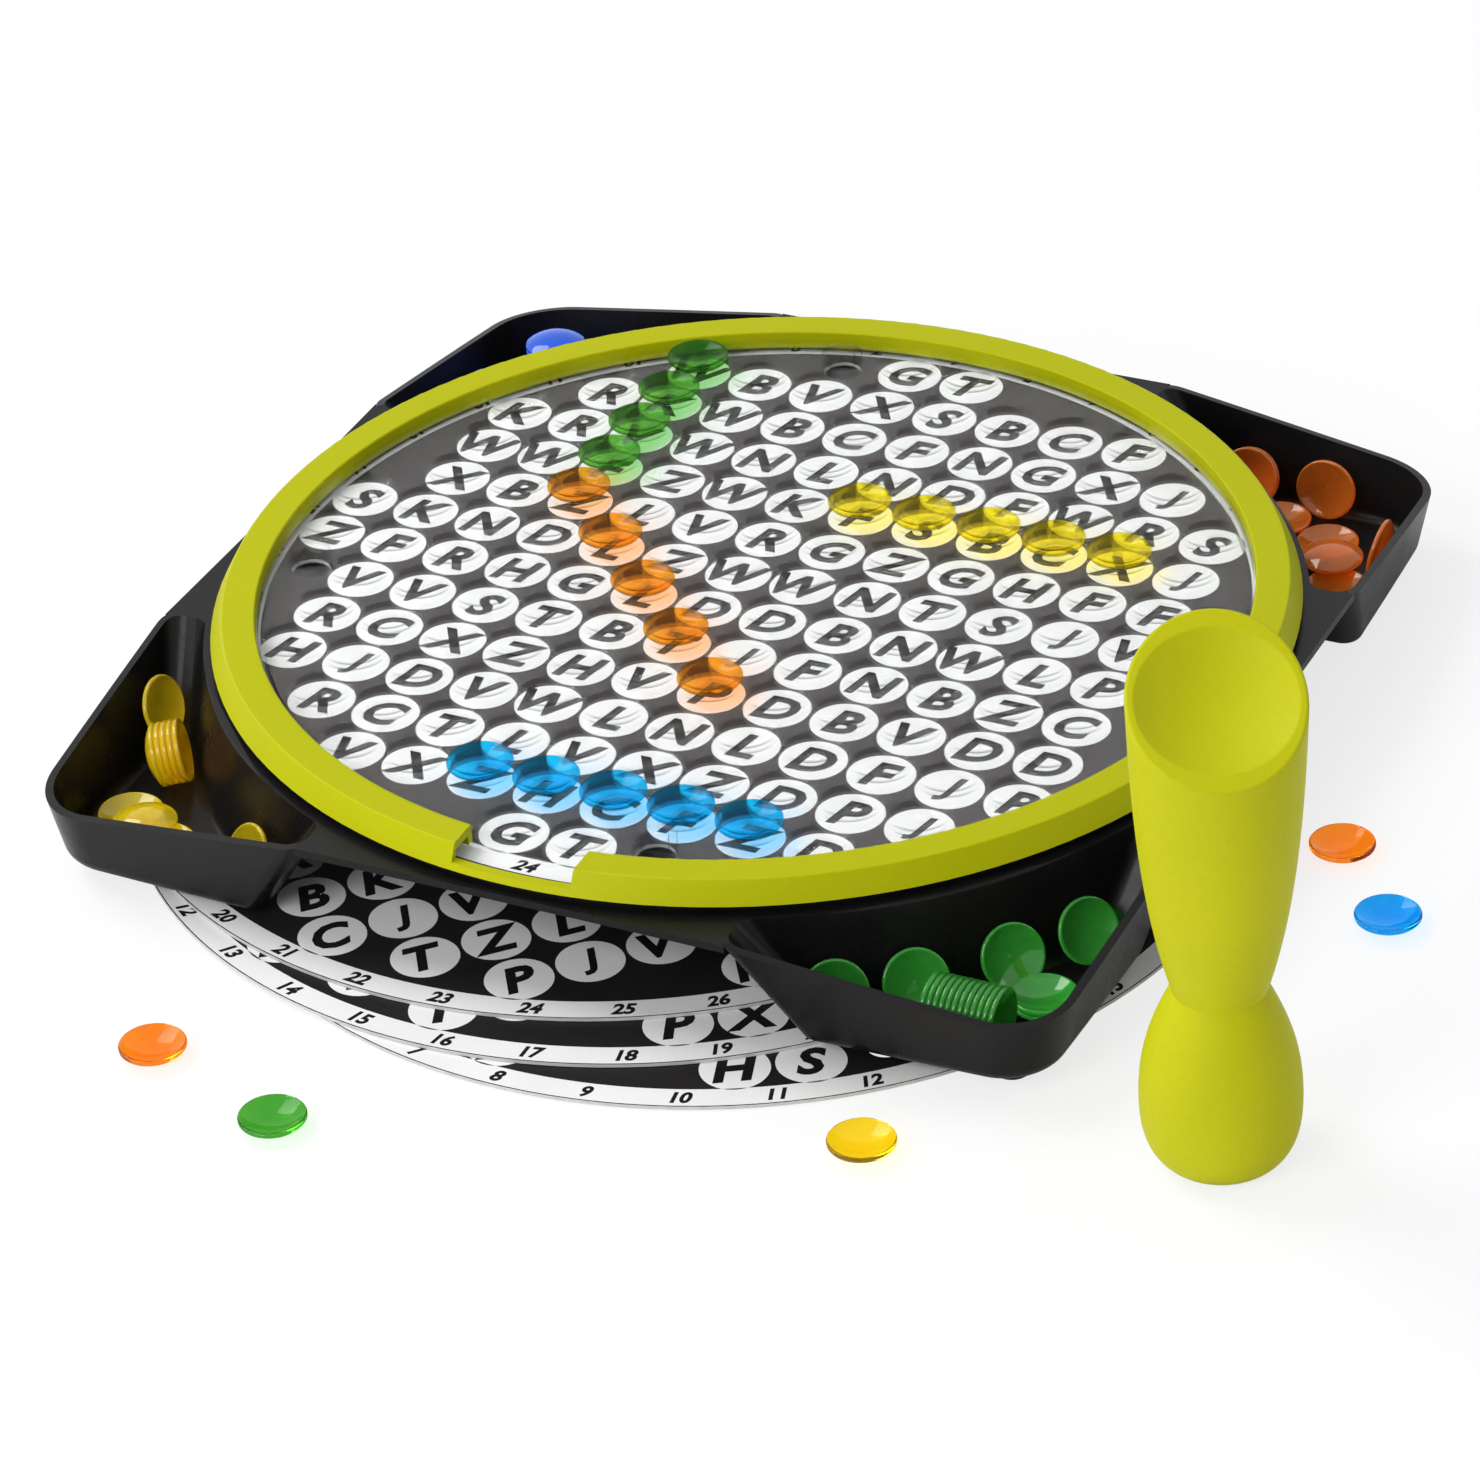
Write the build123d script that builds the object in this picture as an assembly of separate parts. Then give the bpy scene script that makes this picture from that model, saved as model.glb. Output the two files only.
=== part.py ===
from build123d import *
import os
from math import cos, hypot, radians, sin, sqrt

# Word search game: a square tray with a round reading board, a turning dial ring,
# a clear cover with a well for every letter, dished chips, spare discs and a grab piece.
# Millimetres, +Z up. The origin is on the dial's axis, on the table.
# +X runs along the rows of wells, +Y away from the player at the reading window.

# Fits between pieces
flat_gap = 0.1
seat_gap = 0.25
run_gap = 0.4
peg_gap = 0.3

# Well grid of the clear cover: for each row's distance from the middle, how many wells it has
pitch = 16.0
row_counts = {0.5: 14, 1.5: 12, 2.5: 12, 3.5: 12, 4.5: 10, 5.5: 8, 6.5: 2}
well_r = 6.9

# Dished chip: both faces have one curvature, so that chips nest in stacks
chip_r = 7.3
chip_t = 1.3
chip_curve_r = 12.5
chip_edge_r = 0.45

# Clear cover
cover_t = 3.8
cover_wall = 1.2
cover_edge_land = 0.6
cover_flange_w = 1.5
cover_flange_t = 0.9
peg_r = 4.0
peg_len = 2.6
peg_along = 1.5
peg_out = 6.3
collar_r = 4.8
collar_h = 1.2
collar_bore_r = 3.0
collar_floor_t = 1.2

# Dial ring and its reading window
ring_rise = 1.7
ring_wall = 1.8
ring_top_t = 2.0
ring_overhang = 2.0
ring_bevel_w = 2.8
ring_bevel_edge_r = 0.5
window_w = 28.0
window_lip_h = 1.4

# Printed discs
disc_t = 0.8
disc_under_ring = 5.2

# Base: round platform and four corner trays
foot_h = 3.4
foot_r = 4.0
foot_inset = 6.0
tray_depth = 24.2
tray_wall = 1.8
platform_rise = 0.6
platform_t = 2.0
platform_skirt_t = 2.0
platform_lip_w = 3.2
platform_to_tray = 1.6
side_margin = 2.6
side_bow_r = 3000.0
corner_r = 18.0
tray_end = 48.0
tray_end_slope = 17.0
tray_inner_draft = 4.0
tray_outer_draft = 5.0
tray_bottom_r = 4.4
rim_fall_deg = 10.8
rim_edge_r = 0.5
tail_round_share = 0.44
shelf_scoop = 1.2
shelf_overlap = 0.3
rib_t = 1.6
rib_h = 3.0
rib_count = 8
hub_rib_r = 30.0
boss_wall = 1.6
boss_h = 4.0

# Grab piece
totem_rim_z = 108.5
totem_top_r = 18.3
totem_waist_r = 9.7
totem_waist_z = 41.0
totem_bulb_r = 16.6
totem_bulb_z = 14.0
totem_foot_r = 11.6
totem_cut_deg = 30.0
totem_rim_w = 2.1
totem_dish_depth = 4.5
totem_rim_round = 0.7
totem_foot_run = (1.0, 0.7)
totem_waist_in = (-0.5, 1.0)
totem_waist_out = (0.3, 1.0)
totem_top_run = (0.02, 1.0)

# Places chosen from the photograph, on the table: (x, y), and for a disc its turn in degrees
totem_at = (158.0, -118.0)
totem_faces_deg = -63.0
loose_chips = {
    "loose_chip_orange_right": (143.5, -9.0),
    "loose_chip_blue": (162.0, -31.0),
    "loose_chip_yellow": (90.0, -144.5),
    "loose_chip_green": (-27.0, -181.0),
    "loose_chip_orange_left": (-63.0, -168.0),
}
spare_discs = {
    "spare_disc_lower": (9.0, -35.0, 30.0),
    "spare_disc_middle": (-13.0, -29.0, 33.0),
    "spare_disc_upper": (-24.0, -17.0, 45.0),
}

# Chips on the board, by well: column and row counted in pitches from the middle
board_chips = {
    "board_chips_green": [(-3.5, 5.5 - k) for k in range(4)],
    "board_chips_orange": [(-3.5 + k, 1.5 - k) for k in range(5)],
    "board_chips_yellow": [(0.5 + k, 2.5) for k in range(5)],
    "board_chips_blue": [(-1.5 + k, -5.5) for k in range(5)],
}

# Nested chips in the longest pile of three trays
blue_stack = 9
yellow_fan = 5
green_roll = 12

# Heights that follow from the sizes above
rim_z = foot_h + tray_depth
platform_z = rim_z + platform_rise
disc_z = platform_z + flat_gap
lip_z = disc_z + disc_t
cover_z = lip_z + flat_gap
cover_top = cover_z + cover_t
flange_top = cover_z + cover_flange_t
ring_top = cover_top + ring_rise
ring_foot = lip_z + run_gap

# Radii that follow from the well grid
wells = [
    (col - (count - 1) / 2, row * side)
    for row, count in row_counts.items()
    for side in (1, -1)
    for col in range(count)
]
well_reach = max(hypot(*w) for w in wells) * pitch
cover_r = well_reach + well_r + cover_edge_land
flange_r = cover_r + cover_flange_w
ring_in_r = cover_r + run_gap
disc_r = ring_in_r + disc_under_ring
lip_in_r = disc_r + run_gap
ring_border_r = lip_in_r + ring_overhang
ring_out_r = ring_border_r + ring_bevel_w
platform_r = lip_in_r + platform_lip_w
tray_in_r = platform_r + platform_to_tray
half = tray_in_r + side_margin
pegs = [Vector(peg_along * pitch, -peg_out * pitch).rotate(Axis.Z, 90 * k) for k in range(4)]


def ring_of(profile):
    """A body of revolution about the dial's axis, from a closed (radius, height) outline."""
    return revolve(make_face(Plane.XZ * Polyline(*profile, close=True)), Axis.Z)


def at_pegs(make):
    """One copy of a small feature at each of the four pegs."""
    return [Pos(p.X, p.Y, 0) * make for p in pegs]


def column(radius, bottom, top):
    return Pos(0, 0, bottom) * Cylinder(radius, top - bottom, align=(Align.CENTER, Align.CENTER, Align.MIN))


# A chip lies with its hollow side up and its lowest point at the origin
def make_chip():
    drop = sqrt(chip_curve_r ** 2 - chip_r ** 2)
    edge_z = chip_curve_r - drop
    half_r = chip_r / 2
    half_z = chip_curve_r - sqrt(chip_curve_r ** 2 - half_r ** 2)
    under = ThreePointArc((0, 0), (half_r, half_z), (chip_r, edge_z))
    edge = Line((chip_r, edge_z), (chip_r, edge_z + chip_t))
    over = ThreePointArc((chip_r, edge_z + chip_t), (half_r, half_z + chip_t), (0, chip_t))
    axis = Line((0, chip_t), (0, 0))
    body = revolve(make_face(Plane.XZ * (under + edge + over + axis)), Axis.Z)
    rim = body.edges().filter_by(GeomType.CIRCLE).filter_by(lambda e: abs(e.radius - chip_r) < 1e-3)
    return fillet(rim, chip_edge_r)


chip = make_chip()
chip_h = chip.bounding_box().max.Z
chip_pitch = chip_t + flat_gap
well_ball_r = chip_curve_r + seat_gap
well_ball_z = cover_top + sqrt(well_ball_r ** 2 - well_r ** 2)
chip_on_board_z = well_ball_z - chip_curve_r


# Clear cover, one thin wall all over: plate, edge, flange under the ring, wells and four hollow pegs
def make_cover():
    plate_z = cover_top - cover_wall
    edge = column(cover_r, cover_z, cover_top) + column(flange_r, cover_z, flange_top)
    body = edge - column(cover_r - cover_wall, cover_z, plate_z)
    dimple = column(well_r + cover_edge_land, cover_z, cover_top)
    dimple &= Pos(0, 0, well_ball_z) * Sphere(well_ball_r + cover_wall)
    body += [Pos(x * pitch, y * pitch, 0) * dimple for x, y in wells]
    body += at_pegs(column(collar_r, cover_z, cover_top + collar_h))
    body += at_pegs(column(peg_r, cover_z - peg_len, cover_z + flat_gap))
    body -= at_pegs(column(collar_bore_r, cover_z - peg_len + collar_floor_t, cover_top + collar_h))
    body -= [Pos(x * pitch, y * pitch, well_ball_z) * Sphere(well_ball_r) for x, y in wells]
    return body


# Card disc with a hole for each peg, its underside at the given height
def make_disc(bottom):
    disc = column(disc_r, bottom, bottom + disc_t)
    return disc - at_pegs(column(peg_r + peg_gap, bottom, bottom + disc_t))


# Dial ring: flat top, inner wall that rides on the cover's flange, sloping outer wall
def make_ring():
    wall_foot = flange_top + seat_gap
    under_top = ring_top - ring_top_t
    body = ring_of([
        (ring_in_r, wall_foot),
        (ring_in_r, ring_top),
        (ring_border_r, ring_top),
        (ring_out_r, ring_foot),
        (ring_border_r, ring_foot),
        (ring_border_r, under_top),
        (ring_in_r + ring_wall, under_top),
        (ring_in_r + ring_wall, wall_foot),
    ])
    border = body.edges().filter_by(lambda e: abs(e.center().Z - ring_top) < 1e-3 and e.length > 1)
    body = fillet(border, ring_bevel_edge_r)
    window_foot = ring_foot + window_lip_h
    window = Box(window_w, ring_out_r, ring_top, align=(Align.CENTER, Align.MAX, Align.MIN))
    window = Pos(0, 0, window_foot) * window
    inner_cut = Box(window_w, ring_border_r, ring_top, align=(Align.CENTER, Align.MAX, Align.MIN))
    return body - window - (column(ring_border_r, wall_foot - flat_gap, ring_top) & inner_cut)


# Side of the base outline at a distance from its middle, moved in by inset
def side_at(along, inset):
    return half - side_bow_r + sqrt((side_bow_r - inset) ** 2 - along ** 2)


# Plan of one tray in the +X +Y corner: two bowed sides, a round corner,
# an inner wall concentric with the dial and two short rounded ends
def tray_plan(inner_r, inset, end, z):
    sag = side_bow_r - half
    corner = (sqrt(2 * (side_bow_r - inset) ** 2 - sag ** 2) - sag) / 2
    mid = (end + corner) / 2
    inner = sqrt(inner_r ** 2 - end ** 2)
    outer = side_at(end, inset)
    diagonal = inner_r / sqrt(2)
    wire = ThreePointArc((end, outer), (mid, side_at(mid, inset)), (corner, corner))
    wire += ThreePointArc((corner, corner), (side_at(mid, inset), mid), (outer, end))
    wire += Line((outer, end), (inner, end))
    wire += ThreePointArc((inner, end), (diagonal, diagonal), (end, inner))
    wire += Line((end, inner), (end, outer))
    face = make_face(wire)
    tails = face.vertices().filter_by(lambda v: min(abs(v.X - end), abs(v.Y - end)) < 1e-3)
    face = fillet(tails, tail_round_share * (outer - inner))
    tips = face.vertices().filter_by(lambda v: hypot(v.X - corner, v.Y - corner) < 1e-3)
    face = fillet(tips, corner_r - inset)
    return Pos(0, 0, z) * face


def bowl(grow, bottom):
    """Tapered tray form: grow 0 gives the pocket, the wall thickness gives the outside."""
    at_rim = tray_plan(tray_in_r + tray_wall - grow, tray_wall - grow, tray_end + tray_wall - grow, rim_z)
    at_floor = tray_plan(
        tray_in_r + tray_wall - grow + tray_inner_draft,
        tray_wall - grow + tray_outer_draft,
        tray_end + tray_wall - grow + tray_end_slope,
        bottom,
    )
    body = loft([at_floor, at_rim], ruled=True)
    rounding = tray_bottom_r - tray_wall + grow
    return fillet(body.faces().sort_by(Axis.Z)[0].edges(), rounding)


pocket_floor = foot_h + tray_wall
corner_centre = (sqrt(2 * (side_bow_r - corner_r) ** 2 - (side_bow_r - half) ** 2) - side_bow_r + half) / 2
foot_at = corner_centre + (corner_r - tray_outer_draft - foot_inset - foot_r) / sqrt(2)


# One tray: its rim is level along the dial, then falls in one plane to the corner
def make_tray():
    outside = bowl(tray_wall, foot_h)
    foot = Pos(foot_at, foot_at, 0) * column(foot_r, 0, pocket_floor)
    body = outside + foot - bowl(0, pocket_floor)
    start = tray_in_r / sqrt(2)
    fall = radians(rim_fall_deg)
    rim_plane = Plane((start, start, rim_z), z_dir=(sin(fall) / sqrt(2), sin(fall) / sqrt(2), cos(fall)))
    body -= rim_plane * Box(half * 2, half * 2, tray_depth, align=(Align.CENTER, Align.CENTER, Align.MIN))
    rim = body.faces().filter_by(rim_plane).sort_by(Axis.Z)[-1]
    return fillet(rim.edges().filter_by(GeomType.LINE, reverse=True), rim_edge_r)


# Round platform: disc recess, skirt, underside ribs, peg sockets and the shelf between the trays
def make_platform():
    under = platform_z - platform_t
    skirt_foot = rim_z - tray_wall
    skirt_in = platform_r - platform_skirt_t
    body = ring_of([
        (0, under),
        (0, platform_z),
        (lip_in_r, platform_z),
        (lip_in_r, lip_z),
        (platform_r, lip_z),
        (platform_r, rim_z),
        (tray_in_r, rim_z),
        (tray_in_r, skirt_foot),
        (skirt_in, skirt_foot),
        (skirt_in, under),
    ])
    body += shelves(skirt_foot)
    rib = Box(skirt_in - hub_rib_r, rib_t, rib_h + flat_gap, align=(Align.MIN, Align.CENTER, Align.MIN))
    rib = Pos(hub_rib_r, 0, under - rib_h) * rib
    body += [Rot(0, 0, 360 / rib_count * k) * rib for k in range(rib_count)]
    hub = column(hub_rib_r + rib_t, under - rib_h, under + flat_gap)
    body += hub - column(hub_rib_r, under - rib_h, under + flat_gap)
    socket_r = peg_r + peg_gap
    body += at_pegs(column(socket_r + boss_wall, under - boss_h, under + flat_gap))
    return body - at_pegs(column(socket_r, under - boss_h, platform_z))


# Shelf that closes the rim between two trays, its edge scooped in towards the dial
def shelves(bottom):
    reach = tray_end + tray_end_slope
    edge = side_at(reach, shelf_overlap)
    back = platform_r - platform_skirt_t
    wire = ThreePointArc((-reach, edge), (0, tray_in_r + shelf_scoop), (reach, edge))
    wire += Line((reach, edge), (reach, back / 2))
    wire += Line((reach, back / 2), (-reach, back / 2))
    wire += Line((-reach, back / 2), (-reach, edge))
    side = extrude(make_face(wire), tray_wall) - column(back, 0, tray_wall)
    trays = extrude(tray_plan(tray_in_r, 0, tray_end, 0), tray_wall)
    side = side - trays - Rot(0, 0, 90) * trays
    return [Rot(0, 0, 90 * k) * Pos(0, 0, bottom) * side for k in range(4)]


# A pile of nested chips whose shared axis leans from upright towards a compass direction
def pile(count, tilt, toward):
    nested = [Pos(0, 0, k * chip_pitch) * chip for k in range(count)]
    return Compound(children=[Rot(0, 0, toward) * Rot(0, tilt, 0) * c for c in nested])


def set_down(chips, x, y, lift):
    """Move a pile so that its lowest point is just off the tray's floor, or lift above that."""
    low = chips.bounding_box().min.Z
    return [Pos(x, y, pocket_floor + seat_gap + lift - low) * c for c in chips.solids()]


# The three ways chips lie in a tray, in the frame of the +X +Y corner.
# On the floor, placed from the middle of the corner's round
def on_floor(dx, dy, count=1, tilt=0, toward=0, lift=0):
    return set_down(pile(count, tilt, toward), corner_centre + dx, corner_centre + dy, lift)


def wall_share(height):
    """How much of the wall's draft is left at a height above the pocket's floor."""
    return 1 - height / (rim_z - pocket_floor)


# Leaning back on the inner wall, hollow side out, at an angle round the dial
def on_inner_wall(angle, tilt, count=1):
    wall = tray_in_r + tray_wall + tray_inner_draft * wall_share(chip_r)
    chips = pile(count, tilt, 0)
    out = wall + seat_gap - chips.bounding_box().min.X
    return [Rot(0, 0, angle) * c for c in set_down(chips, out, 0, 0)]


# Leaning back on the outer side that faces +X, or +Y when across, some way before the corner
def on_side(before, tilt, count=1, across=False, lift=0):
    inset = tray_wall + tray_outer_draft * wall_share(chip_r / 2)
    along = corner_centre - before
    chips = pile(count, tilt, 180)
    out = side_at(along + chip_r, inset) - seat_gap - chips.bounding_box().max.X
    leaning = set_down(chips, out, along, lift)
    return [mirror(c, Plane((0, 0, 0), z_dir=(1, -1, 0))) for c in leaning] if across else leaning


# Chips put away in each tray: quarter turns from the back right corner, and the piles there
def tray_chips():
    on_chip = chip_h + seat_gap
    return {
        "tray_chips_orange": (0, [
            on_side(11.8, 80, across=True),
            on_side(30.8, 66, count=2, across=True),
            on_side(11.8, 80),
            on_floor(-19.8, 0),
            on_floor(-5.8, -5.8),
            on_floor(3, -23.5),
            on_floor(-1.8, -13.8, tilt=180, lift=on_chip),
        ]),
        "tray_chips_blue": (1, [
            on_floor(-3, -3, count=blue_stack),
            on_floor(-3, -3, tilt=180, lift=on_chip + (blue_stack - 1) * chip_pitch),
            on_side(18.5, 60, across=True),
            on_side(18.5, 58),
            on_inner_wall(33.5, 62),
            on_inner_wall(56.5, 64),
        ]),
        "tray_chips_yellow": (2, [
            on_floor(6.2, -21.3, count=yellow_fan, tilt=80, toward=207),
            on_side(35.3, 72, lift=4),
            on_floor(2, -6),
            on_floor(-10.5, 2),
            on_inner_wall(57, 60),
            on_floor(-4, -2, tilt=180, lift=on_chip),
        ]),
        "tray_chips_green": (3, [
            on_inner_wall(32, 62),
            on_inner_wall(39.5, 60),
            on_inner_wall(49, 64),
            on_floor(-12.3, 3.5, count=2),
            on_inner_wall(57, 62),
        ]),
        "tray_stack_green": (3, [on_floor(3.5, -17.3, count=green_roll, tilt=90, toward=90)]),
    }


# Grab piece: turned body with a pinched waist and a dished top cut on a slant
def make_totem():
    top_z = totem_rim_z + totem_top_r
    foot = Line((0, 0), (totem_foot_r, 0))
    bulb = Spline(
        (totem_foot_r, 0), (totem_bulb_r, totem_bulb_z), (totem_waist_r, totem_waist_z),
        tangents=(totem_foot_run, totem_waist_in),
    )
    stem = Spline(
        (totem_waist_r, totem_waist_z), (totem_top_r, top_z),
        tangents=(totem_waist_out, totem_top_run),
    )
    top = Polyline((totem_top_r, top_z), (0, top_z), (0, 0))
    body = revolve(make_face(Plane.XZ * (foot + bulb + stem + top)), Axis.Z)
    slant = Plane((0, 0, totem_rim_z), z_dir=(sin(radians(totem_cut_deg)), 0, cos(radians(totem_cut_deg))))
    span = 2 * top_z
    body -= slant * Box(span, span, span, align=(Align.CENTER, Align.CENTER, Align.MIN))
    dish_r = totem_top_r - totem_rim_w
    dish_ball_r = (dish_r ** 2 + totem_dish_depth ** 2) / (2 * totem_dish_depth)
    body -= slant * Pos(0, 0, dish_ball_r - totem_dish_depth) * Sphere(dish_ball_r)
    rim = body.faces().filter_by(GeomType.PLANE).sort_by(Axis.Z)[-1]
    body = fillet(rim.edges(), totem_rim_round)
    return Pos(*totem_at, 0) * Rot(0, 0, totem_faces_deg) * body


def keep(name, solids):
    """Write one node, as a single solid or as a group of separate ones."""
    shape = Compound(children=list(solids)) if isinstance(solids, list) else solids
    shape.label = name
    export_step(shape, f"parts/{name}.step")
    print(name, "solids", len(shape.solids()), "volume", round(shape.volume, 1))


def main():
    os.makedirs("parts", exist_ok=True)
    keep("base_platform", make_platform())
    tray = make_tray()
    for k, name in enumerate(("back_right", "back_left", "front_left", "front_right")):
        keep(f"corner_tray_{name}", Rot(0, 0, 90 * k) * tray)
    keep("puzzle_disc", make_disc(disc_z))
    for k, (name, (x, y, turn)) in enumerate(spare_discs.items()):
        keep(name, Pos(x, y, 0) * Rot(0, 0, turn) * make_disc(k * (disc_t + flat_gap)))
    keep("clear_cover", make_cover())
    keep("dial_ring", make_ring())
    for name, places in board_chips.items():
        keep(name, [Pos(x * pitch, y * pitch, chip_on_board_z) * chip for x, y in places])
    for name, (turns, piles) in tray_chips().items():
        keep(name, [Rot(0, 0, 90 * turns) * c for chips in piles for c in chips])
    for name, (x, y) in loose_chips.items():
        keep(name, Pos(x, y, 0) * chip)
    keep("grab_totem", make_totem())


main()
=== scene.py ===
import math

import bpy
import numpy as np
from mathutils import Matrix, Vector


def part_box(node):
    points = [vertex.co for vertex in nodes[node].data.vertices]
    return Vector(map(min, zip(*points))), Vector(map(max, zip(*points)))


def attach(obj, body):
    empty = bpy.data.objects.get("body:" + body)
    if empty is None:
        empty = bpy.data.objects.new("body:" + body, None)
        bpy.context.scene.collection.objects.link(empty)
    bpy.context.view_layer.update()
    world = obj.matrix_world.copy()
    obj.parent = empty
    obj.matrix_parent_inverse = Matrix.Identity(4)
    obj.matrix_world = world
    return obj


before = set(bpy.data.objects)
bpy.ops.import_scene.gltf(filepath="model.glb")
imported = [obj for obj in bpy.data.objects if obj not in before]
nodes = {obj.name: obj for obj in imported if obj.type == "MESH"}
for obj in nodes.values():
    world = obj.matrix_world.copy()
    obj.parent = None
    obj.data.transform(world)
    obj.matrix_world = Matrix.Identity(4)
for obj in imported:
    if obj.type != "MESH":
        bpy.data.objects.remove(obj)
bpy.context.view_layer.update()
scene = bpy.context.scene
mm = 0.001
print("frame loaded with", len(nodes), "nodes")

# The well grid that the cover and the print on every disc share, in pitches from the middle
wellGrid = {
    "pitch": 16.0,
    "rows": {0.5: 14, 1.5: 12, 2.5: 12, 3.5: 12, 4.5: 10, 5.5: 8, 6.5: 2},
}
gridSpots = np.array([
    (col - (count - 1) / 2, row * side)
    for row, count in wellGrid["rows"].items()
    for side in (1, -1)
    for col in range(count)
])


def newPiece(name, points, faces):
    mesh = bpy.data.meshes.new(name)
    mesh.from_pydata(np.asarray(points, float).tolist(), [], faces)
    mesh.update()
    piece = bpy.data.objects.new(name, mesh)
    scene.collection.objects.link(piece)
    return piece


def dress(name, material):
    mesh = nodes[name].data
    if not mesh.materials:
        mesh.materials.append(material)
    for k in range(len(mesh.materials)):
        mesh.materials[k] = material


# Node plumbing: a node with its values set, and a link by socket names
def addNode(tree, kind, **values):
    node = tree.nodes.new(kind)
    for key, value in values.items():
        if hasattr(node, key):
            setattr(node, key, value)
        else:
            node.inputs[key].default_value = value
    return node


def newGroup(name, inputs, outputs):
    tree = bpy.data.node_groups.new(name, "ShaderNodeTree")
    for label, kind, value in inputs:
        socket = tree.interface.new_socket(label, in_out="INPUT", socket_type=kind)
        socket.default_value = value
    for label, kind in outputs:
        tree.interface.new_socket(label, in_out="OUTPUT", socket_type=kind)
    return tree, tree.nodes.new("NodeGroupInput"), tree.nodes.new("NodeGroupOutput")


floatKind = "NodeSocketFloat"
colourKind = "NodeSocketColor"
# Sockets of the Mix node, whose names repeat: share, the two numbers and the two colours
mixIn = {"share": 0, "low": 2, "high": 3, "first": 6, "second": 7}
mixOut = {"number": 0, "colour": 2}
driftMix = {"mottleShare": 0.35, "low": 0.35, "high": 0.65}


# Colour that drifts between two tones in soft clouds, with a finer mottle over them
def makeToneDrift():
    tree, source, sink = newGroup("toneDrift", [
        ("Light", colourKind, (1, 1, 1, 1)), ("Deep", colourKind, (0.5, 0.5, 0.5, 1)),
        ("Cloud Scale", floatKind, 20.0), ("Mottle Scale", floatKind, 900.0),
    ], [("Color", colourKind)])
    place = addNode(tree, "ShaderNodeTexCoord")
    cloud = addNode(tree, "ShaderNodeTexNoise", Detail=2.0)
    mottle = addNode(tree, "ShaderNodeTexNoise", Detail=3.0)
    both = addNode(tree, "ShaderNodeMix", data_type="FLOAT")
    both.inputs[mixIn["share"]].default_value = driftMix["mottleShare"]
    spread = addNode(tree, "ShaderNodeMapRange")
    spread.inputs["From Min"].default_value = driftMix["low"]
    spread.inputs["From Max"].default_value = driftMix["high"]
    blend = addNode(tree, "ShaderNodeMix", data_type="RGBA")
    link = tree.links.new
    link(place.outputs["Object"], cloud.inputs["Vector"])
    link(place.outputs["Object"], mottle.inputs["Vector"])
    link(source.outputs["Cloud Scale"], cloud.inputs["Scale"])
    link(source.outputs["Mottle Scale"], mottle.inputs["Scale"])
    link(cloud.outputs["Fac"], both.inputs[mixIn["low"]])
    link(mottle.outputs["Fac"], both.inputs[mixIn["high"]])
    link(both.outputs[mixOut["number"]], spread.inputs["Value"])
    link(spread.outputs["Result"], blend.inputs[mixIn["share"]])
    link(source.outputs["Light"], blend.inputs[mixIn["first"]])
    link(source.outputs["Deep"], blend.inputs[mixIn["second"]])
    link(blend.outputs[mixOut["colour"]], sink.inputs["Color"])
    return tree


rubMix = {"streakShare": 0.4, "low": 0.3, "high": 0.7, "lean": (0.3, 0.2, 0.7), "squeeze": (1.0, 14.0, 3.0)}


# Roughness that wanders between two values, with long faint rubbed streaks
def makeRubbedGloss():
    tree, source, sink = newGroup("rubbedGloss", [
        ("Smooth", floatKind, 0.3), ("Rough", floatKind, 0.45), ("Scale", floatKind, 60.0),
    ], [("Roughness", floatKind)])
    place = addNode(tree, "ShaderNodeTexCoord")
    patch = addNode(tree, "ShaderNodeTexNoise", Detail=4.0)
    streak = addNode(tree, "ShaderNodeTexNoise", Detail=2.0)
    squeeze = addNode(tree, "ShaderNodeMapping")
    squeeze.inputs["Rotation"].default_value = rubMix["lean"]
    squeeze.inputs["Scale"].default_value = rubMix["squeeze"]
    both = addNode(tree, "ShaderNodeMix", data_type="FLOAT")
    both.inputs[mixIn["share"]].default_value = rubMix["streakShare"]
    result = addNode(tree, "ShaderNodeMapRange")
    result.inputs["From Min"].default_value = rubMix["low"]
    result.inputs["From Max"].default_value = rubMix["high"]
    link = tree.links.new
    link(place.outputs["Object"], patch.inputs["Vector"])
    link(place.outputs["Object"], squeeze.inputs["Vector"])
    link(squeeze.outputs["Vector"], streak.inputs["Vector"])
    link(source.outputs["Scale"], patch.inputs["Scale"])
    link(source.outputs["Scale"], streak.inputs["Scale"])
    link(patch.outputs["Fac"], both.inputs[mixIn["low"]])
    link(streak.outputs["Fac"], both.inputs[mixIn["high"]])
    link(both.outputs[mixOut["number"]], result.inputs["Value"])
    link(source.outputs["Smooth"], result.inputs["To Min"])
    link(source.outputs["Rough"], result.inputs["To Max"])
    link(result.outputs["Result"], sink.inputs["Roughness"])
    return tree


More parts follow.
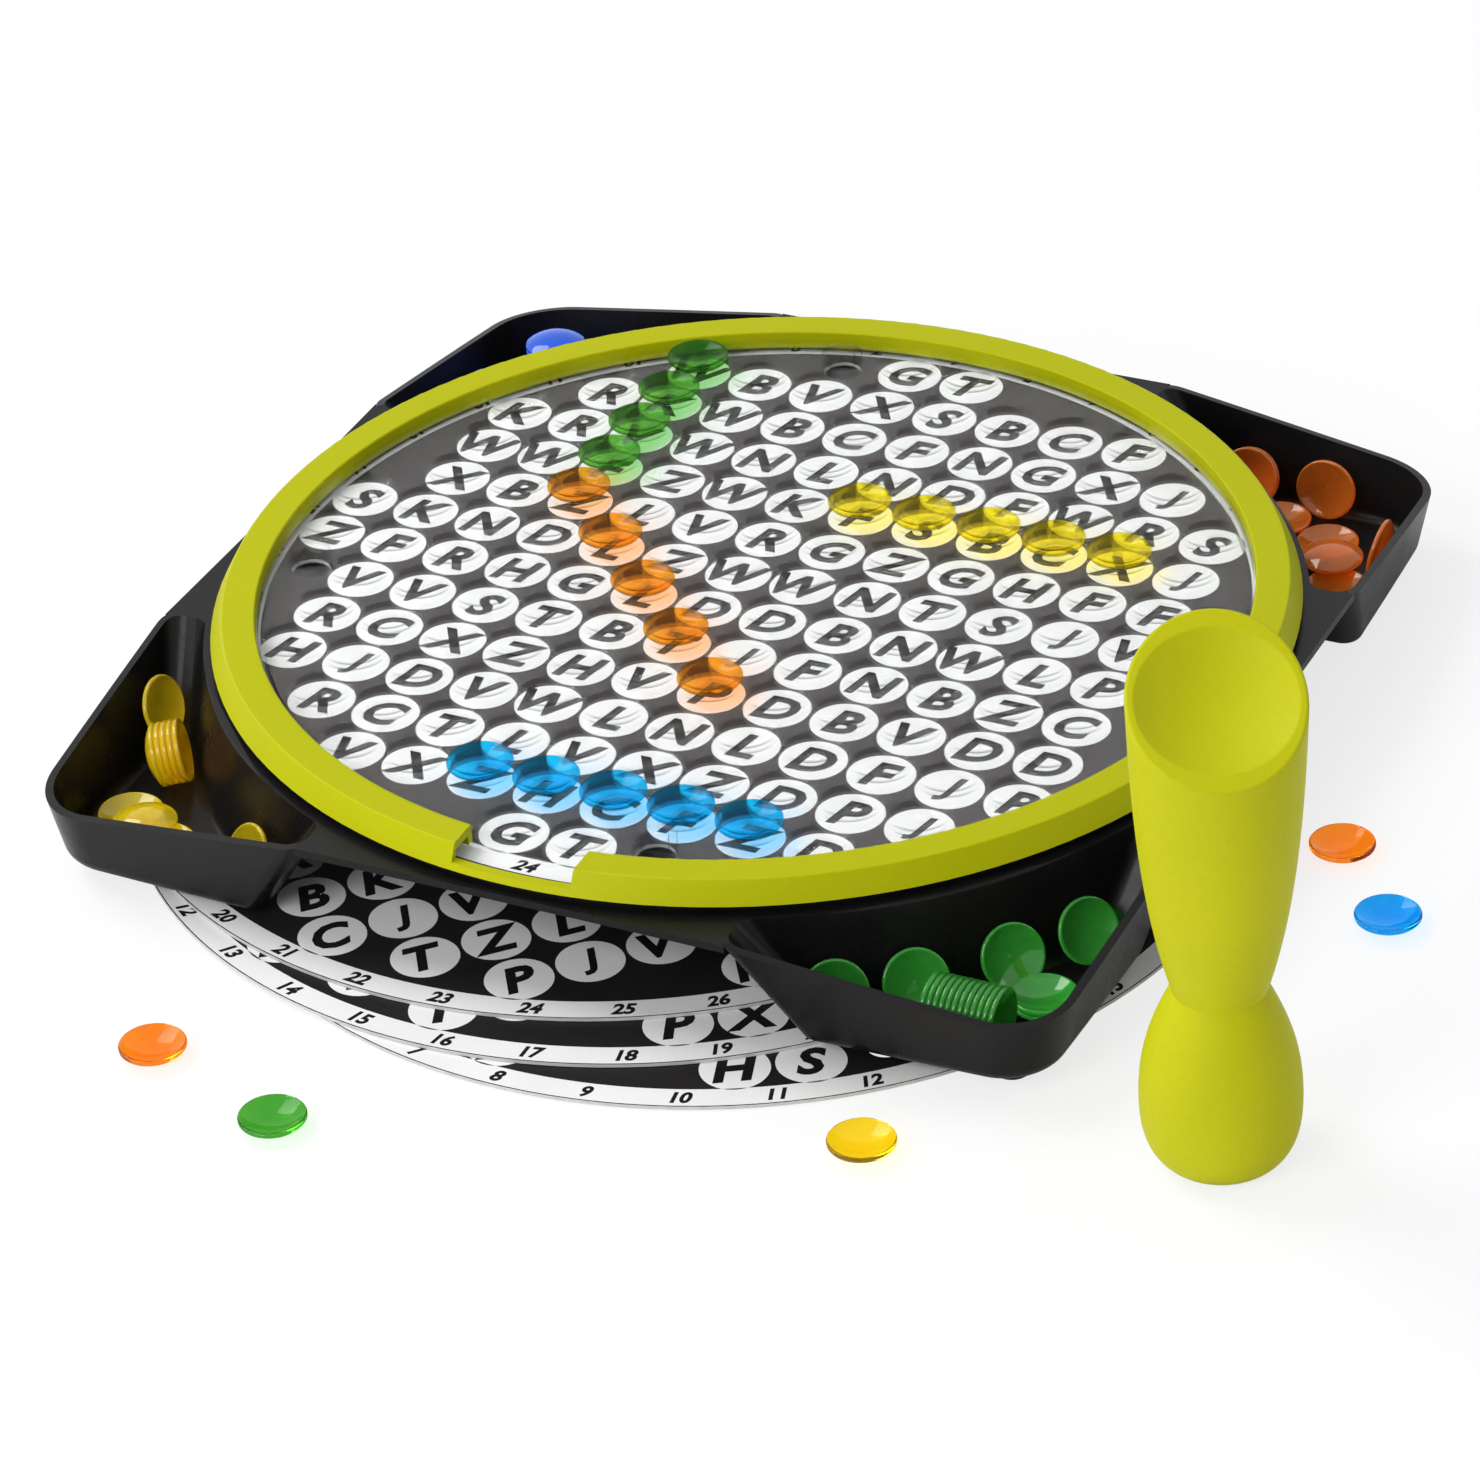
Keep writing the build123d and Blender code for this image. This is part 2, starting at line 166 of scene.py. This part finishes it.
# Height of a moulded skin: fine spark-eroded grain over a slow ripple of the wall
def makeMouldSkin():
    tree, source, sink = newGroup("mouldSkin", [
        ("Grain Scale", floatKind, 3500.0), ("Ripple Scale", floatKind, 45.0), ("Ripple", floatKind, 0.4),
    ], [("Height", floatKind)])
    place = addNode(tree, "ShaderNodeTexCoord")
    grain = addNode(tree, "ShaderNodeTexNoise", Detail=1.5)
    ripple = addNode(tree, "ShaderNodeTexNoise", Detail=0.0)
    both = addNode(tree, "ShaderNodeMix", data_type="FLOAT")
    link = tree.links.new
    link(place.outputs["Object"], grain.inputs["Vector"])
    link(place.outputs["Object"], ripple.inputs["Vector"])
    link(source.outputs["Grain Scale"], grain.inputs["Scale"])
    link(source.outputs["Ripple Scale"], ripple.inputs["Scale"])
    link(source.outputs["Ripple"], both.inputs[mixIn["share"]])
    link(grain.outputs["Fac"], both.inputs[mixIn["low"]])
    link(ripple.outputs["Fac"], both.inputs[mixIn["high"]])
    link(both.outputs[mixOut["number"]], sink.inputs["Height"])
    return tree


toneDrift = makeToneDrift()
rubbedGloss = makeRubbedGloss()
mouldSkin = makeMouldSkin()
print("surface effects ready")


def useGroup(tree, effect, **values):
    node = tree.nodes.new("ShaderNodeGroup")
    node.node_tree = effect
    for key, value in values.items():
        node.inputs[key].default_value = value
    return node


# Values of each kind of finish that hold where a look gives none of its own
mouldedUsual = {"cloud": 18.0, "mottle": 900.0, "rub": 55.0, "ripple": 0.35, "depth": 0.00006}
clearUsual = {
    "cloud": 60.0, "mottle": 500.0, "rub": 90.0, "coat": 0.0, "coatRough": 0.03, "clear": 0.0,
    "edgeFrom": 0.70, "edgeTo": 0.92,
}
cardUsual = {
    "cloud": 25.0, "mottle": 1600.0, "coreCloud": 300.0, "coreMottle": 4000.0, "rub": 40.0,
    "grain": 1800.0, "ripple": 0.2, "bump": 0.12, "depth": 0.00005, "topFrom": 0.5,
    "coreLight": (0.62, 0.62, 0.60), "coreDeep": (0.52, 0.52, 0.50),
}


# One moulded finish: drifting colour, rubbed gloss and a grained skin on the Principled shader
def mouldedFinish(name, given):
    look = {**mouldedUsual, **given}
    material = bpy.data.materials.new(name)
    material.use_nodes = True
    tree = material.node_tree
    shader = tree.nodes["Principled BSDF"]
    tone = useGroup(tree, toneDrift, **{
        "Light": (*look["light"], 1), "Deep": (*look["deep"], 1),
        "Cloud Scale": look["cloud"], "Mottle Scale": look["mottle"],
    })
    gloss = useGroup(tree, rubbedGloss, **{
        "Smooth": look["smooth"], "Rough": look["rough"], "Scale": look["rub"],
    })
    skin = useGroup(tree, mouldSkin, **{
        "Grain Scale": look["grain"], "Ripple": look["ripple"],
    })
    bump = addNode(tree, "ShaderNodeBump", Strength=look["bump"], Distance=look["depth"])
    link = tree.links.new
    link(tone.outputs["Color"], shader.inputs["Base Color"])
    link(gloss.outputs["Roughness"], shader.inputs["Roughness"])
    link(skin.outputs["Height"], bump.inputs["Height"])
    link(bump.outputs["Normal"], shader.inputs["Normal"])
    shader.inputs["Specular IOR Level"].default_value = look["specular"]
    return material


# Clear or tinted plastic. Light passes for shadows, so that what lies under it stays lit. A thin wall
# bends no light: the share "clear" goes straight through, darkened by painted shade where the wall is seen
# on edge
def clearFinish(name, given):
    look = {**clearUsual, **given}
    material = bpy.data.materials.new(name)
    material.use_nodes = True
    tree = material.node_tree
    shader = tree.nodes["Principled BSDF"]
    sink = tree.nodes["Material Output"]
    tone = useGroup(tree, toneDrift, **{
        "Light": (*look["light"], 1), "Deep": (*look["deep"], 1),
        "Cloud Scale": look["cloud"], "Mottle Scale": look["mottle"],
    })
    gloss = useGroup(tree, rubbedGloss, **{
        "Smooth": look["smooth"], "Rough": look["rough"], "Scale": look["rub"],
    })
    path = addNode(tree, "ShaderNodeLightPath")
    tilt = addNode(tree, "ShaderNodeLayerWeight", Blend=0.5)
    edgeShadeShare = addNode(tree, "ShaderNodeMapRange", **{
        "From Min": look["edgeFrom"], "From Max": look["edgeTo"],
    })
    # painted shade: the colour seen through the wall goes dark where the wall is seen on edge
    wall = addNode(tree, "ShaderNodeMix", data_type="RGBA")
    wall.inputs[mixIn["first"]].default_value = (*look["through"], 1)
    wall.inputs[mixIn["second"]].default_value = (*look["edge"], 1)
    passing = addNode(tree, "ShaderNodeMix", data_type="RGBA")
    passing.inputs[mixIn["second"]].default_value = (*look["shadow"], 1)
    share = addNode(tree, "ShaderNodeMath", operation="MAXIMUM")
    share.inputs[1].default_value = look["clear"]
    through = addNode(tree, "ShaderNodeBsdfTransparent")
    mix = addNode(tree, "ShaderNodeMixShader")
    link = tree.links.new
    link(tilt.outputs["Facing"], edgeShadeShare.inputs["Value"])
    link(edgeShadeShare.outputs["Result"], wall.inputs[mixIn["share"]])
    link(path.outputs["Is Shadow Ray"], passing.inputs[mixIn["share"]])
    link(wall.outputs[mixOut["colour"]], passing.inputs[mixIn["first"]])
    link(passing.outputs[mixOut["colour"]], through.inputs["Color"])
    link(path.outputs["Is Shadow Ray"], share.inputs[0])
    link(tone.outputs["Color"], shader.inputs["Base Color"])
    link(gloss.outputs["Roughness"], shader.inputs["Roughness"])
    shader.inputs["IOR"].default_value = look["ior"]
    shader.inputs["Transmission Weight"].default_value = look["transmission"]
    shader.inputs["Coat Weight"].default_value = look["coat"]
    shader.inputs["Coat Roughness"].default_value = look["coatRough"]
    link(share.outputs["Value"], mix.inputs["Fac"])
    link(shader.outputs["BSDF"], mix.inputs[1])
    link(through.outputs["BSDF"], mix.inputs[2])
    link(mix.outputs["Shader"], sink.inputs["Surface"])
    return material


# Card: print on the top face, pale grey board on the edge and the back
def cardFinish(name, given):
    look = {**cardUsual, **given}
    material = bpy.data.materials.new(name)
    material.use_nodes = True
    tree = material.node_tree
    shader = tree.nodes["Principled BSDF"]
    tone = useGroup(tree, toneDrift, **{
        "Light": (*look["light"], 1), "Deep": (*look["deep"], 1),
        "Cloud Scale": look["cloud"], "Mottle Scale": look["mottle"],
    })
    core = useGroup(tree, toneDrift, **{
        "Light": (*look["coreLight"], 1), "Deep": (*look["coreDeep"], 1),
        "Cloud Scale": look["coreCloud"], "Mottle Scale": look["coreMottle"],
    })
    skin = useGroup(tree, mouldSkin, **{"Grain Scale": look["grain"], "Ripple": look["ripple"]})
    bump = addNode(tree, "ShaderNodeBump", Strength=look["bump"], Distance=look["depth"])
    gloss = useGroup(tree, rubbedGloss, **{
        "Smooth": look["smooth"], "Rough": look["rough"], "Scale": look["rub"],
    })
    shape = addNode(tree, "ShaderNodeNewGeometry")
    split = addNode(tree, "ShaderNodeSeparateXYZ")
    top = addNode(tree, "ShaderNodeMath", operation="GREATER_THAN")
    top.inputs[1].default_value = look["topFrom"]
    blend = addNode(tree, "ShaderNodeMix", data_type="RGBA")
    link = tree.links.new
    link(shape.outputs["Normal"], split.inputs["Vector"])
    link(split.outputs["Z"], top.inputs[0])
    link(top.outputs["Value"], blend.inputs[mixIn["share"]])
    link(core.outputs["Color"], blend.inputs[mixIn["first"]])
    link(tone.outputs["Color"], blend.inputs[mixIn["second"]])
    link(blend.outputs[mixOut["colour"]], shader.inputs["Base Color"])
    link(gloss.outputs["Roughness"], shader.inputs["Roughness"])
    link(skin.outputs["Height"], bump.inputs["Height"])
    link(bump.outputs["Normal"], shader.inputs["Normal"])
    shader.inputs["Specular IOR Level"].default_value = look["specular"]
    return material


# Black base: satin moulding with a slightly dusty mottle
blackBase = {
    "light": (0.0085, 0.0080, 0.0085), "deep": (0.0045, 0.0042, 0.0046), "specular": 0.15,
    "smooth": 0.24, "rough": 0.38, "grain": 2600.0, "bump": 0.10, "depth": 0.00004,
}
baseFinish = mouldedFinish("black_satin", blackBase)
baseNodes = [n for n in nodes if n == "base_platform" or n.startswith("corner_tray")]
for name in baseNodes:
    dress(name, baseFinish)
print("base dressed:", len(baseNodes), "nodes")

# Lime dial ring and grab piece
limeRing = {
    "light": (0.455, 0.462, 0.004), "deep": (0.420, 0.436, 0.003), "cloud": 12.0, "specular": 0.06,
    "smooth": 0.34, "rough": 0.46, "grain": 3200.0, "bump": 0.08,
}
limeGrab = {
    "light": (0.520, 0.510, 0.006), "deep": (0.470, 0.470, 0.004), "cloud": 22.0, "specular": 0.12,
    "smooth": 0.50, "rough": 0.62, "grain": 3800.0, "bump": 0.14,
}
dress("dial_ring", mouldedFinish("lime_ring", limeRing))
dress("grab_totem", mouldedFinish("lime_grab", limeGrab))
print("ring and grab piece dressed")

# Clear cover
clearCover = {
    "light": (0.97, 0.98, 0.97), "deep": (0.94, 0.96, 0.94), "shadow": (0.93, 0.94, 0.93),
    "smooth": 0.0, "rough": 0.02, "ior": 1.3, "transmission": 1.0, "coat": 0.35, "coatRough": 0.02,
    # the darker second wall colour is painted shade where the thin wall is seen on edge, as at the rims of
    # the wells
    "clear": 0.93, "through": (0.99, 0.99, 0.99), "edge": (0.42, 0.42, 0.42),
}
dress("clear_cover", clearFinish("clear_cover", clearCover))

# Chips: tinted plastic in four colours; those in the dark trays hold more colour in the body and get
# colours of their own, set for the dim light there: painted light and shade
# each tint's dark wall colour is painted shade, for the rim of a chip seen on edge
chipTints = {
    "green": {
        "light": (0.09, 0.44, 0.03), "deep": (0.06, 0.36, 0.03), "shadow": (0.35, 0.75, 0.30),
        "through": (0.42, 0.72, 0.24), "edge": (0.03, 0.10, 0.02),
        "heapLitLight": (0.09, 0.56, 0.08), "heapLitDeep": (0.06, 0.46, 0.07),
    },
    "orange": {
        "light": (0.95, 0.30, 0.01), "deep": (0.90, 0.22, 0.01), "shadow": (1.00, 0.60, 0.25),
        "through": (0.98, 0.68, 0.14), "edge": (0.22, 0.08, 0.01),
        "heapLitLight": (0.86, 0.31, 0.04), "heapLitDeep": (0.78, 0.25, 0.03),
    },
    "yellow": {
        "light": (0.92, 0.68, 0.01), "deep": (0.88, 0.60, 0.01), "shadow": (1.00, 0.90, 0.30),
        "through": (0.97, 0.92, 0.16), "edge": (0.24, 0.18, 0.01),
        "heapLitLight": (0.84, 0.70, 0.02), "heapLitDeep": (0.78, 0.62, 0.02),
    },
    "blue": {
        "light": (0.004, 0.38, 0.88), "deep": (0.003, 0.30, 0.78), "shadow": (0.25, 0.70, 1.00),
        "through": (0.06, 0.78, 0.97), "edge": (0.01, 0.08, 0.18),
        "heapLitLight": (0.008, 0.20, 0.80), "heapLitDeep": (0.006, 0.15, 0.70),
    },
}
looseGloss = {"smooth": 0.02, "rough": 0.08, "ior": 1.25, "transmission": 0.94}
boardGloss = {
    "smooth": 0.01, "rough": 0.03, "ior": 1.25, "transmission": 0.95,
    "coat": 0.5, "coatRough": 0.04, "clear": 0.72,
}
heapGloss = {"smooth": 0.03, "rough": 0.09, "ior": 1.46, "transmission": 0.62}
for tint, look in chipTints.items():
    # tray chips take the colours set for the dim trays: painted light and shade, lighter for the green,
    # darker for the blue
    heapLitLook = {**look, "light": look["heapLitLight"], "deep": look["heapLitDeep"]}
    finishes = {
        "loose_": clearFinish(f"chip_{tint}", {**look, **looseGloss}),
        "board_": clearFinish(f"chip_{tint}_board", {**look, **boardGloss}),
        "tray_": clearFinish(f"chip_{tint}_heap", {**heapLitLook, **heapGloss}),
    }
    for name in nodes:
        for start, finish in finishes.items():
            if tint in name and name.startswith(start):
                dress(name, finish)
print("chips dressed")

# Printed discs: where each one lies, its turn, its letters' shift and the number at its front
discPrint = {
    "dotR": 7.55, "dotSides": 40, "inkT": 0.02, "inkGap": 0.004, "letterH": 9.4,
    "bandIn": 111.4, "bandOut": 117.1,
    "numberH": 3.9, "numberR": 114.3, "numberStep": 10, "bandSides": 240,
    "letters": "BCDFGHJKLNPRSTVWXZ", "waveSize": 9973, "waveCol": 12.99, "waveRow": 78.23,
}
discPlaces = {
    "puzzle_disc": {"middle": (0, 0), "turn": 0, "shift": 0, "first": 24},
    "spare_disc_lower": {"middle": (9, -35), "turn": 30, "shift": 5, "first": 11},
    "spare_disc_middle": {"middle": (-13, -29), "turn": 33, "shift": 9, "first": 19},
    "spare_disc_upper": {"middle": (-24, -17), "turn": 45, "shift": 13, "first": 27},
}
glyphLook = {"shear": 0.22, "offset": 0.04, "resolution": 3, "extrude": 0.5}


# One glyph as arrays: cap height 1, middle at the origin, thickness from 0 to 1
def glyphArrays(text):
    curve = bpy.data.curves.new("glyph", "FONT")
    curve.body = text
    curve.shear = glyphLook["shear"]
    curve.offset = glyphLook["offset"]
    curve.resolution_u = glyphLook["resolution"]
    curve.extrude = glyphLook["extrude"]
    holder = bpy.data.objects.new("glyph", curve)
    scene.collection.objects.link(holder)
    bpy.context.view_layer.update()
    mesh = bpy.data.meshes.new_from_object(holder.evaluated_get(bpy.context.evaluated_depsgraph_get()))
    mesh.calc_loop_triangles()
    points = np.zeros(len(mesh.vertices) * 3)
    corners = np.zeros(len(mesh.loop_triangles) * 3, np.int64)
    mesh.vertices.foreach_get("co", points)
    mesh.loop_triangles.foreach_get("vertices", corners)
    bpy.data.objects.remove(holder)
    bpy.data.meshes.remove(mesh)
    points = points.reshape(-1, 3)
    low, high = points.min(0), points.max(0)
    capHeight = high[1] - low[1]
    points = points - [(low[0] + high[0]) / 2, (low[1] + high[1]) / 2, low[2]]
    points = points / [1, 1, high[2] - low[2]]
    return points / [capHeight, capHeight, 1], corners.reshape(-1, 3)


# Thin round ink spots: every spot is a closed flat disc, its rim points r (cos, sin) about its middle
def spotArrays(middles, radius, low, high, sides):
    angle = np.arange(sides) * 2 * math.pi / sides
    rim = np.stack([np.cos(angle), np.sin(angle)], 1) * radius
    flat = middles[:, None, :] + rim[None]
    points = np.concatenate([
        np.dstack([flat, np.full(flat.shape[:2], low)]), np.dstack([flat, np.full(flat.shape[:2], high)]),
    ], 1).reshape(-1, 3)
    start = np.arange(len(middles))[:, None] * 2 * sides
    step = np.arange(sides)
    after = (step + 1) % sides
    under = start + step[::-1]
    over = start + sides + step
    wall = np.stack([start + step, start + after, start + sides + after, start + sides + step], 2)
    return points, under.tolist() + over.tolist() + wall.reshape(-1, 4).tolist()


# Flat ring between two radii: four rim circles joined by strips of quads
def bandArrays(inner, outer, low, high, sides):
    angle = np.arange(sides) * 2 * math.pi / sides
    rims = [(inner, low), (outer, low), (outer, high), (inner, high)]
    points = np.concatenate([
        np.stack([r * np.cos(angle), r * np.sin(angle), np.full(sides, z)], 1) for r, z in rims
    ])
    step = np.arange(sides)
    after = (step + 1) % sides
    strips = [
        np.stack([a * sides + step, a * sides + after, b * sides + after, b * sides + step], 1)
        for a, b in ((0, 1), (1, 2), (2, 3), (3, 0))
    ]
    return points, np.concatenate(strips)[:, ::-1].tolist()


glyphs = {}


def glyph(text):
    if text not in glyphs:
        glyphs[text] = glyphArrays(text)
    return glyphs[text]


# Joins glyphs set at (x, y) with a height and a turn into one mesh's arrays
def setType(lines, low, thick):
    points, faces, count = [], [], 0
    for text, x, y, height, turn in lines:
        shape, corners = glyph(text)
        c, s = math.cos(math.radians(turn)), math.sin(math.radians(turn))
        flat = shape[:, :2] * height
        points.append(np.stack([
            x + c * flat[:, 0] - s * flat[:, 1],
            y + s * flat[:, 0] + c * flat[:, 1],
            low + thick * shape[:, 2],
        ], 1))
        faces.append(corners + count)
        count += len(shape)
    return np.concatenate(points), np.concatenate(faces).tolist()


def placed(points, place):
    turn = math.radians(place["turn"])
    c, s = math.cos(turn), math.sin(turn)
    x, y = points[:, 0], points[:, 1]
    middle = place["middle"]
    return np.stack([middle[0] + c * x - s * y, middle[1] + s * x + c * y, points[:, 2]], 1) * mm


# Print and card of the discs
inkSkin = {"cloud": 40.0, "mottle": 1500.0, "smooth": 0.38, "rough": 0.5, "grain": 2500.0, "bump": 0.05}
whiteInk = mouldedFinish("white_ink", {
    **inkSkin, "light": (0.88, 0.88, 0.88), "deep": (0.82, 0.82, 0.83), "specular": 0.1,
})
blackInk = mouldedFinish("black_ink", {
    **inkSkin, "light": (0.012, 0.011, 0.012), "deep": (0.008, 0.007, 0.008), "specular": 0.08,
})
# The board and the spares carry the same black card; its lighter colour on the board and darker one on the
# spares are painted light and shade, set for how each is lit
boardCard = cardFinish("board_card", {
    "light": (0.040, 0.034, 0.035), "deep": (0.033, 0.028, 0.029),
    "smooth": 0.4, "rough": 0.55, "specular": 0.08,
})
spareCard = cardFinish("spare_card", {
    "light": (0.016, 0.014, 0.015), "deep": (0.011, 0.010, 0.010),
    "smooth": 0.35, "rough": 0.5, "specular": 0.16,
})


def printDisc(name, place):
    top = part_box(name)[1][2] / mm + discPrint["inkGap"]
    ink = discPrint["inkT"]
    spots = gridSpots * wellGrid["pitch"]
    points, faces = spotArrays(spots, discPrint["dotR"], top, top + ink, discPrint["dotSides"])
    band, strips = bandArrays(
        discPrint["bandIn"], discPrint["bandOut"], top, top + ink, discPrint["bandSides"],
    )
    faces = faces + (np.array(strips) + len(points)).tolist()
    white = newPiece(f"{name}_white_print", placed(np.concatenate([points, band]), place), faces)
    # each letter is a consonant picked by frac(size sin(a column + b row + shift)), so no words form
    letters = discPrint["letters"]
    phase = discPrint["waveCol"] * gridSpots[:, 0] + discPrint["waveRow"] * gridSpots[:, 1] + place["shift"]
    picks = (np.mod(discPrint["waveSize"] * np.sin(phase), 1) * len(letters)).astype(int)
    lines = [(letters[k], x, y, discPrint["letterH"], 0) for k, (x, y) in zip(picks, spots)]
    numberCount = 360 // discPrint["numberStep"]
    for k in range(numberCount):
        angle = -90 + k * discPrint["numberStep"]
        x = discPrint["numberR"] * math.cos(math.radians(angle))
        y = discPrint["numberR"] * math.sin(math.radians(angle))
        number = (k + place["first"] - 1) % numberCount + 1
        lines.append((str(number), x, y, discPrint["numberH"], angle + 90))
    points, faces = setType(lines, top + ink, ink)
    black = newPiece(f"{name}_black_print", placed(points, place), faces)
    for piece, finish in ((white, whiteInk), (black, blackInk)):
        piece.data.materials.append(finish)
        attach(piece, name)
    dress(name, boardCard if name == "puzzle_disc" else spareCard)


for name, place in discPlaces.items():
    printDisc(name, place)
    print("printed", name)


# One for rays of the named kinds, nought for those that only carry light
def seenRays(tree, kinds):
    path = addNode(tree, "ShaderNodeLightPath")
    seen = path.outputs[kinds[0]]
    for kind in kinds[1:]:
        larger = addNode(tree, "ShaderNodeMath", operation="MAXIMUM")
        tree.links.new(seen, larger.inputs[0])
        tree.links.new(path.outputs[kind], larger.inputs[1])
        seen = larger.outputs["Value"]
    return seen


# Pale floor: white to the camera and through glass, as lit in reflections; it keeps the soft shadows
floorLook = {
    "half": 6.0, "level": -0.0002, "light": (0.95, 0.95, 0.96), "deep": (0.92, 0.92, 0.93),
    "cloud": 2.0, "mottle": 40.0, "rough": 0.55, "lift": 0.76,
    "seenBy": ("Is Camera Ray", "Is Transmission Ray"),
}
floorCorners = [
    (x * floorLook["half"], y * floorLook["half"], floorLook["level"])
    for x, y in ((-1, -1), (1, -1), (1, 1), (-1, 1))
]
floorPiece = newPiece("studio_floor", floorCorners, [(0, 1, 2, 3)])
floorFinish = bpy.data.materials.new("pale_floor")
floorFinish.use_nodes = True
floorTree = floorFinish.node_tree
floorShader = floorTree.nodes["Principled BSDF"]
floorTone = useGroup(floorTree, toneDrift, **{
    "Light": (*floorLook["light"], 1), "Deep": (*floorLook["deep"], 1),
    "Cloud Scale": floorLook["cloud"], "Mottle Scale": floorLook["mottle"],
})
floorShader.inputs["Roughness"].default_value = floorLook["rough"]
floorGlow = addNode(floorTree, "ShaderNodeEmission", Strength=1.0)
floorShare = addNode(floorTree, "ShaderNodeMath", operation="MULTIPLY")
floorShare.inputs[1].default_value = floorLook["lift"]
floorMix = addNode(floorTree, "ShaderNodeMixShader")
floorTree.links.new(floorTone.outputs["Color"], floorShader.inputs["Base Color"])
floorTree.links.new(seenRays(floorTree, floorLook["seenBy"]), floorShare.inputs[0])
floorTree.links.new(floorShare.outputs["Value"], floorMix.inputs["Fac"])
floorTree.links.new(floorShader.outputs["BSDF"], floorMix.inputs[1])
floorTree.links.new(floorGlow.outputs["Emission"], floorMix.inputs[2])
floorTree.links.new(floorMix.outputs["Shader"], floorTree.nodes["Material Output"].inputs["Surface"])
floorPiece.data.materials.append(floorFinish)

# Studio: a white room for the camera, reflections and glass, a softer dome for the light it gives
studio = {
    "dome": 0.45, "domeTint": (0.96, 0.98, 1.0), "room": 1.0, "roomTint": (1.0, 1.0, 1.0),
    "seenBy": ("Is Camera Ray", "Is Glossy Ray", "Is Transmission Ray"),
}
world = bpy.data.worlds.new("studio")
scene.world = world
world.use_nodes = True
worldTree = world.node_tree
dome = worldTree.nodes["Background"]
dome.inputs["Color"].default_value = (*studio["domeTint"], 1)
dome.inputs["Strength"].default_value = studio["dome"]
room = addNode(worldTree, "ShaderNodeBackground", Strength=studio["room"])
room.inputs["Color"].default_value = (*studio["roomTint"], 1)
worldMix = addNode(worldTree, "ShaderNodeMixShader")
worldTree.links.new(seenRays(worldTree, studio["seenBy"]), worldMix.inputs["Fac"])
worldTree.links.new(dome.outputs["Background"], worldMix.inputs[1])
worldTree.links.new(room.outputs["Background"], worldMix.inputs[2])
worldTree.links.new(worldMix.outputs["Shader"], worldTree.nodes["World Output"].inputs["Surface"])

# Soft boxes: places and sizes in metres, power in watts
softBoxes = {
    "keyBox": {"place": (-1.2, 0.1, 1.5), "aim": (0, 0, 0), "size": 1.0, "power": 21.0},
    "fillBox": {"place": (-0.4, -1.5, 1.0), "aim": (0, 0, 0.03), "size": 0.9, "power": 17.0},
    "backBox": {"place": (1.4, 0.9, 0.9), "aim": (0, 0, 0.03), "size": 0.7, "power": 2.5},
}
for name, box in softBoxes.items():
    lamp = bpy.data.lights.new(name, "AREA")
    lamp.shape = "SQUARE"
    lamp.size = box["size"]
    lamp.energy = box["power"]
    holder = bpy.data.objects.new(name, lamp)
    scene.collection.objects.link(holder)
    back = np.array(box["place"]) - np.array(box["aim"])
    back = back / np.linalg.norm(back)
    right = np.cross((0, 0, 1), back)
    right = right / np.linalg.norm(right)
    up = np.cross(back, right)
    turn = np.eye(4)
    turn[:3, 0], turn[:3, 1], turn[:3, 2], turn[:3, 3] = right, up, back, box["place"]
    holder.matrix_world = Matrix(turn.tolist())
print("studio lit")

# Camera at the photograph's place: place, lens and frame in millimetres, far end in metres
cameraSet = {
    "place": (519.14, -1024.98, 736.36), "right": (0.90372, 0.42492, -0.05238),
    "down": (0.19206, -0.51170, -0.83742), "ahead": (-0.38264, 0.74673, -0.54404),
    "lens": 145.95, "frame": 36.0, "far": 50,
}
camera = bpy.data.objects.new("photoCamera", bpy.data.cameras.new("photoCamera"))
scene.collection.objects.link(camera)
turn = np.eye(4)
turn[:3, 0] = cameraSet["right"]
turn[:3, 1] = -np.array(cameraSet["down"])
turn[:3, 2] = -np.array(cameraSet["ahead"])
turn[:3, 3] = np.array(cameraSet["place"]) * mm
camera.matrix_world = Matrix(turn.tolist())
camera.data.lens = cameraSet["lens"]
camera.data.sensor_width = cameraSet["frame"]
camera.data.clip_end = cameraSet["far"]
scene.camera = camera
scene.view_settings.view_transform = "Standard"
print("camera set")
